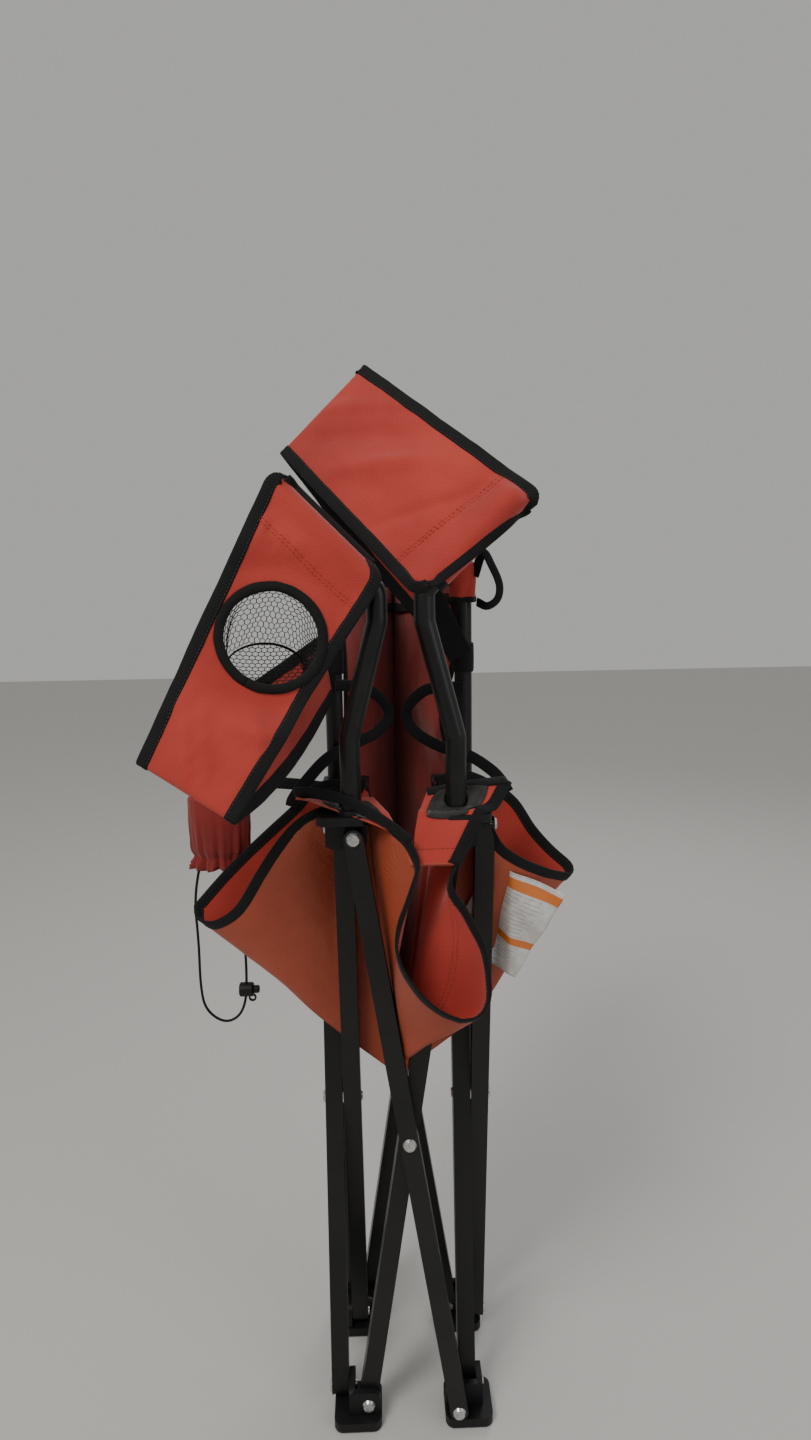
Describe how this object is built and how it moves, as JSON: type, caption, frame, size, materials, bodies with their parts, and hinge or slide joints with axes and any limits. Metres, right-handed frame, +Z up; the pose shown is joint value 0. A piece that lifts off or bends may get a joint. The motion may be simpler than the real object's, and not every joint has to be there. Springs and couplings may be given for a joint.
{
  "type": "folding camp chair",
  "caption": "Folding camp chair nearly closed: four scissor frames on square tubes, sliding rear collars, folded fabric seat, back, armrests, net cup holder, drawcord",
  "frame": {"origin": "middle of the four feet, on the floor", "axes": "+Z up, front of the chair towards -Y, +X to the right seen from the front"},
  "size_m": [0.3834, 0.463, 1.0667],
  "materials": {
    "black_tube": "satin powder coat",
    "black_plastic": "moulded",
    "steel": "satin rivet",
    "red_fabric": "plain polyester weave",
    "black_fabric": "webbing and net",
    "white_label": "blank printed card",
    "black_leather": "stitched patch"
  },
  "bodies": {
    "foot_front_left": {"foot_front_left": "black_plastic", "foot_rivets_front_left": "steel"},
    "leg_front_inner": {"leg_front_inner": "black_tube", "cross_rivet_front": "steel"},
    "leg_front_outer": {"leg_front_outer": "black_tube"},
    "foot_front_right": {"foot_front_right": "black_plastic", "foot_rivets_front_right": "steel"},
    "hub_front_left": {"hub_front_left": "black_plastic", "hub_rivets_front_left": "steel", "arm_post_left": "black_tube", "seat_patch_front_left": "black_leather"},
    "hub_front_right": {"hub_front_right": "black_plastic", "hub_rivets_front_right": "steel", "arm_post_right": "black_tube", "seat_patch_front_right": "black_leather"},
    "leg_left_outer": {"leg_left_outer": "black_tube"},
    "leg_left_inner": {"leg_left_inner": "black_tube", "cross_rivet_left": "steel"},
    "foot_rear_left": {"foot_rear_left": "black_plastic", "foot_rivets_rear_left": "steel", "upright_left": "black_tube", "upright_cap_left": "black_plastic"},
    "slider_rear_left": {"slider_rear_left": "black_plastic", "hub_rivets_rear_left": "steel", "carry_bag": "red_fabric", "drawcord": "black_fabric", "toggle_body": "black_plastic"},
    "leg_rear_outer": {"leg_rear_outer": "black_tube"},
    "leg_rear_inner": {"leg_rear_inner": "black_tube", "cross_rivet_rear": "steel"},
    "foot_rear_right": {"foot_rear_right": "black_plastic", "foot_rivets_rear_right": "steel", "upright_right": "black_tube", "upright_cap_right": "black_plastic", "carry_strap": "black_fabric"},
    "slider_rear_right": {"slider_rear_right": "black_plastic", "hub_rivets_rear_right": "steel"},
    "leg_right_inner": {"leg_right_inner": "black_tube", "cross_rivet_right": "steel"},
    "leg_right_outer": {"leg_right_outer": "black_tube"},
    "toggle_button": {"toggle_button": "black_plastic"},
    "seat_front_first": {"seat_front_first": "red_fabric"},
    "seat_front_second": {"seat_front_second": "red_fabric"},
    "seat_right_first": {"seat_right_first": "red_fabric", "hang_label": "white_label"},
    "seat_right_second": {"seat_right_second": "red_fabric"},
    "seat_rear_first": {"seat_rear_first": "red_fabric"},
    "seat_rear_second": {"seat_rear_second": "red_fabric"},
    "seat_left_first": {"seat_left_first": "red_fabric"},
    "seat_left_second": {"seat_left_second": "red_fabric"},
    "back_left": {"back_left": "red_fabric"},
    "back_right": {"back_right": "red_fabric"},
    "arm_left_front": {"arm_left_front": "red_fabric", "cup_ring": "black_plastic", "cup_net": "black_fabric"},
    "arm_left_rear": {"arm_left_rear": "red_fabric"},
    "arm_right_front": {"arm_right_front": "red_fabric"},
    "arm_right_rear": {"arm_right_rear": "red_fabric"}
  },
  "joints": [
    {"name": "fold", "type": "hinge", "parent": "foot_front_left", "child": "leg_front_inner", "pos_m": [-0.04636, -0.05706, 0.022], "axis": [0, 1, 0], "range_deg": [0, 39.4], "deforming": ["seat_front_first", "seat_front_second", "seat_right_first", "seat_right_second", "seat_rear_first", "seat_rear_second", "seat_left_first", "seat_left_second", "back_left", "back_right", "arm_left_front", "arm_left_rear", "arm_right_front", "arm_right_rear", "cup_net", "cup_ring", "hang_label"]},
    {"name": "front_cross", "type": "hinge", "parent": "leg_front_inner", "child": "leg_front_outer", "pos_m": [0, -0.06656, 0.32851], "axis": [0, 1, 0], "range_deg": [-78.8, 0]},
    {"name": "front_right_foot_pivot", "type": "hinge", "parent": "leg_front_outer", "child": "foot_front_right", "pos_m": [0.04636, -0.07606, 0.022], "axis": [0, 1, 0], "range_deg": [0, 39.4]},
    {"name": "front_left_hub_pivot", "type": "hinge", "parent": "leg_front_outer", "child": "hub_front_left", "pos_m": [-0.04636, -0.07606, 0.63503], "axis": [0, 1, 0], "range_deg": [0, 39.4]},
    {"name": "front_right_hub_pivot", "type": "hinge", "parent": "leg_front_inner", "child": "hub_front_right", "pos_m": [0.04636, -0.05706, 0.63503], "axis": [0, 1, 0], "range_deg": [-39.4, 0]},
    {"name": "front_left_foot_pivot", "type": "hinge", "parent": "foot_front_left", "child": "leg_left_outer", "pos_m": [-0.07606, -0.04636, 0.022], "axis": [1, 0, 0], "range_deg": [-39.4, 0]},
    {"name": "left_cross", "type": "hinge", "parent": "leg_left_outer", "child": "leg_left_inner", "pos_m": [-0.06656, 0, 0.32851], "axis": [1, 0, 0], "range_deg": [0, 78.8]},
    {"name": "rear_left_foot_pivot", "type": "hinge", "parent": "leg_left_inner", "child": "foot_rear_left", "pos_m": [-0.05706, 0.04636, 0.022], "axis": [1, 0, 0], "range_deg": [-39.4, 0]},
    {"name": "rear_left_slider_pivot", "type": "hinge", "parent": "leg_left_outer", "child": "slider_rear_left", "pos_m": [-0.07606, 0.04636, 0.63503], "axis": [1, 0, 0], "range_deg": [0, 39.4]},
    {"name": "rear_left_foot_rear_pivot", "type": "hinge", "parent": "foot_rear_left", "child": "leg_rear_outer", "pos_m": [-0.04636, 0.07606, 0.022], "axis": [0, -1, 0], "range_deg": [-39.4, 0]},
    {"name": "rear_cross", "type": "hinge", "parent": "leg_rear_outer", "child": "leg_rear_inner", "pos_m": [0, 0.06656, 0.32851], "axis": [0, -1, 0], "range_deg": [0, 78.8]},
    {"name": "rear_right_foot_pivot", "type": "hinge", "parent": "leg_rear_inner", "child": "foot_rear_right", "pos_m": [0.04636, 0.05706, 0.022], "axis": [0, -1, 0], "range_deg": [-39.4, 0]},
    {"name": "rear_right_slider_pivot", "type": "hinge", "parent": "leg_rear_outer", "child": "slider_rear_right", "pos_m": [0.04636, 0.07606, 0.63503], "axis": [0, -1, 0], "range_deg": [0, 39.4]},
    {"name": "front_right_foot_side_pivot", "type": "hinge", "parent": "foot_front_right", "child": "leg_right_inner", "pos_m": [0.05706, -0.04636, 0.022], "axis": [-1, 0, 0], "range_deg": [0, 39.4]},
    {"name": "right_cross", "type": "hinge", "parent": "leg_right_inner", "child": "leg_right_outer", "pos_m": [0.06656, 0, 0.32851], "axis": [-1, 0, 0], "range_deg": [-78.8, 0]},
    {"name": "seat_front_corner", "type": "hinge", "parent": "hub_front_left", "child": "seat_front_first", "pos_m": [-0.03436, -0.03436, 0.65523], "axis": [0.3913, -0.8645, 0.3155], "range_deg": [0, 82.03]},
    {"name": "seat_front_crease", "type": "hinge", "parent": "seat_front_first", "child": "seat_front_second", "pos_m": [0, -0.172, 0.48723], "axis": [0, 0.7789, -0.6272], "range_deg": [0, 148.61]},
    {"name": "seat_right_corner", "type": "hinge", "parent": "hub_front_right", "child": "seat_right_first", "pos_m": [0.03436, -0.03436, 0.65523], "axis": [0.8645, 0.3913, 0.3155], "range_deg": [0, 82.03]},
    {"name": "seat_right_crease", "type": "hinge", "parent": "seat_right_first", "child": "seat_right_second", "pos_m": [0.172, 0, 0.48723], "axis": [-0.7789, 0, -0.6272], "range_deg": [0, 148.61]},
    {"name": "seat_rear_corner", "type": "hinge", "parent": "slider_rear_right", "child": "seat_rear_first", "pos_m": [0.03436, 0.03436, 0.65523], "axis": [-0.3913, 0.8645, 0.3155], "range_deg": [0, 82.03]},
    {"name": "seat_rear_crease", "type": "hinge", "parent": "seat_rear_first", "child": "seat_rear_second", "pos_m": [0, 0.172, 0.48723], "axis": [0, -0.7789, -0.6272], "range_deg": [0, 148.61]},
    {"name": "seat_left_corner", "type": "hinge", "parent": "slider_rear_left", "child": "seat_left_first", "pos_m": [-0.03436, 0.03436, 0.65523], "axis": [-0.8645, -0.3913, 0.3155], "range_deg": [0, 82.03]},
    {"name": "seat_left_crease", "type": "hinge", "parent": "seat_left_first", "child": "seat_left_second", "pos_m": [-0.172, 0, 0.48723], "axis": [0.7789, 0, -0.6272], "range_deg": [0, 148.61]},
    {"name": "back_left_pocket", "type": "hinge", "parent": "foot_rear_left", "child": "back_left", "pos_m": [-0.0675, 0.0675, 0.67], "axis": [0, 0, 1], "range_deg": [-70.26, 0]},
    {"name": "back_right_pocket", "type": "hinge", "parent": "foot_rear_right", "child": "back_right", "pos_m": [0.0675, 0.0675, 0.67], "axis": [0, 0, 1], "range_deg": [0, 70.26]},
    {"name": "arm_left_pocket", "type": "hinge", "parent": "hub_front_left", "child": "arm_left_front", "pos_m": [-0.062, -0.064, 0.896], "axis": [0.7816, 0.1655, -0.6014], "range_deg": [0, 118.33]},
    {"name": "arm_left_fold", "type": "hinge", "parent": "arm_left_front", "child": "arm_left_rear", "pos_m": [-0.1792, -0.15, 0.6965], "axis": [-0.7508, -0.0535, 0.6583], "range_deg": [0, 143.53]},
    {"name": "arm_right_pocket", "type": "hinge", "parent": "hub_front_right", "child": "arm_right_front", "pos_m": [0.062, -0.064, 0.896], "axis": [-0.6139, 0.0763, -0.7857], "range_deg": [0, 52.32]},
    {"name": "arm_right_fold", "type": "hinge", "parent": "arm_right_front", "child": "arm_right_rear", "pos_m": [-0.0712, 0.053, 1.028], "axis": [0.797, -0.0354, 0.603], "range_deg": [0, 145.34]},
    {"name": "toggle_press", "type": "slide", "parent": "slider_rear_left", "child": "toggle_button", "axis": [-1, 0, 0], "range_m": [0, 0.002], "stiffness_N_per_m": 400, "springref_m": -0.0005}
  ],
  "couplings": [
    {"joint": "front_cross", "follows": "fold", "ratio": -2},
    {"joint": "front_right_foot_pivot", "follows": "fold", "ratio": 1},
    {"joint": "front_left_hub_pivot", "follows": "fold", "ratio": 1},
    {"joint": "front_right_hub_pivot", "follows": "fold", "ratio": -1},
    {"joint": "front_left_foot_pivot", "follows": "fold", "ratio": -1},
    {"joint": "left_cross", "follows": "fold", "ratio": 2},
    {"joint": "rear_left_foot_pivot", "follows": "fold", "ratio": -1},
    {"joint": "rear_left_slider_pivot", "follows": "fold", "ratio": 1},
    {"joint": "rear_left_foot_rear_pivot", "follows": "fold", "ratio": -1},
    {"joint": "rear_cross", "follows": "fold", "ratio": 2},
    {"joint": "rear_right_foot_pivot", "follows": "fold", "ratio": -1},
    {"joint": "rear_right_slider_pivot", "follows": "fold", "ratio": 1},
    {"joint": "front_right_foot_side_pivot", "follows": "fold", "ratio": 1},
    {"joint": "right_cross", "follows": "fold", "ratio": -2},
    {"joint": "seat_front_corner", "follows": "fold", "ratio": 2.082},
    {"joint": "seat_front_crease", "follows": "fold", "ratio": 3.7718},
    {"joint": "seat_right_corner", "follows": "fold", "ratio": 2.082},
    {"joint": "seat_right_crease", "follows": "fold", "ratio": 3.7718},
    {"joint": "seat_rear_corner", "follows": "fold", "ratio": 2.082},
    {"joint": "seat_rear_crease", "follows": "fold", "ratio": 3.7718},
    {"joint": "seat_left_corner", "follows": "fold", "ratio": 2.082},
    {"joint": "seat_left_crease", "follows": "fold", "ratio": 3.7718},
    {"joint": "back_left_pocket", "follows": "fold", "ratio": -1.7833},
    {"joint": "back_right_pocket", "follows": "fold", "ratio": 1.7833},
    {"joint": "arm_left_pocket", "follows": "fold", "ratio": 3.0034},
    {"joint": "arm_left_fold", "follows": "fold", "ratio": 3.6429},
    {"joint": "arm_right_pocket", "follows": "fold", "ratio": 1.3278},
    {"joint": "arm_right_fold", "follows": "fold", "ratio": 3.6887}
  ]
}
